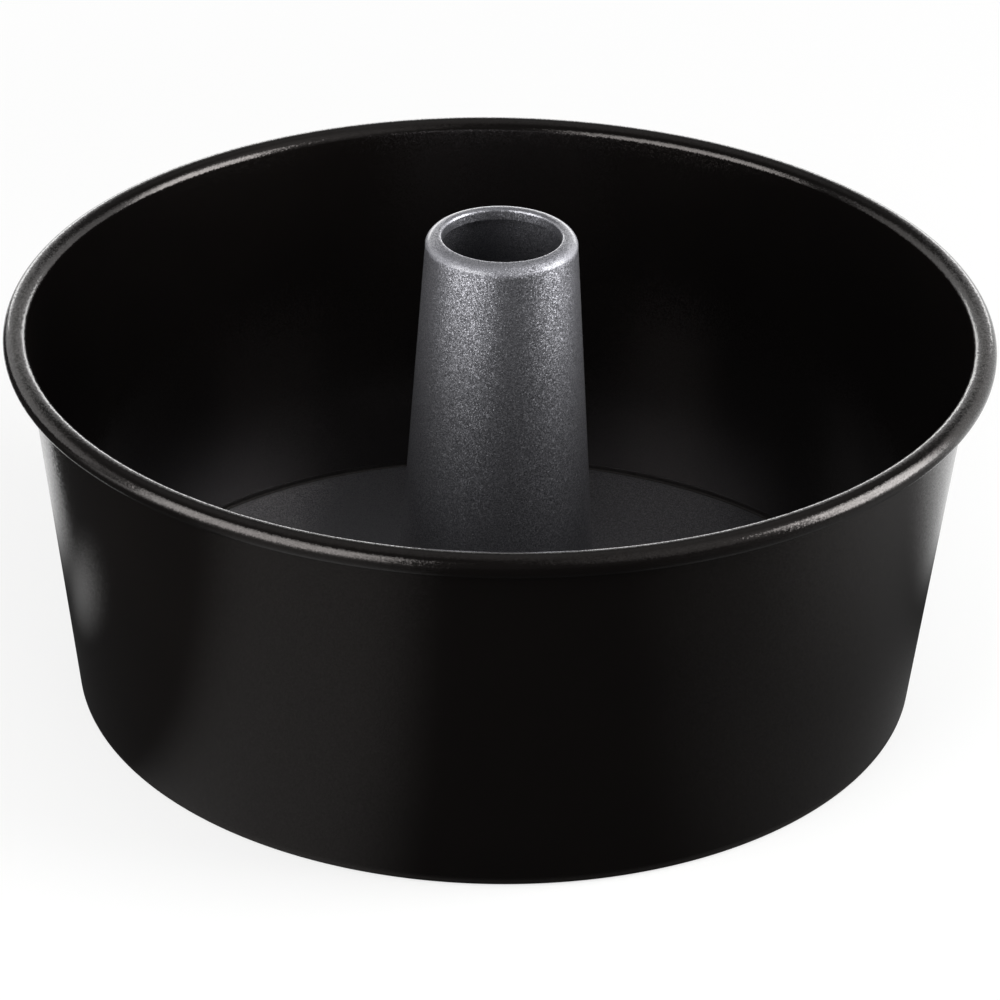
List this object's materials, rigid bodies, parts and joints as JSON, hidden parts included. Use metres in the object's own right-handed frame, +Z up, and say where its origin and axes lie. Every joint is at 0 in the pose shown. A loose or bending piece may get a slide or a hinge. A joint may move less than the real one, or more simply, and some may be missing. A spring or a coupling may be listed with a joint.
{
  "type": "angel food cake pan",
  "caption": "Round, deep cake pan with a rolled rim and a loose insert: a flat disc with a tapered centre tube that lifts out with the cake.",
  "frame": {"origin": "centre of the foot, on the surface that the pan stands on", "axes": "+Z up, along the axis of the ring and of the centre tube"},
  "size_m": [0.254, 0.254, 0.1253],
  "materials": {
    "ring_coating": "satin black non-stick coating on steel sheet",
    "wire_steel": "drawn and zinc-plated",
    "insert_coating": "satin grey metallic non-stick coating on steel sheet"
  },
  "bodies": {
    "ring": {"pan_ring": "ring_coating", "rim_wire": "wire_steel"},
    "insert": {"base_disc": "insert_coating", "centre_tube": "insert_coating"}
  },
  "joints": [
    {"name": "insert_lift", "type": "slide", "parent": "ring", "child": "insert", "axis": [0, 0, 1], "range_m": [0, 0.12]}
  ]
}
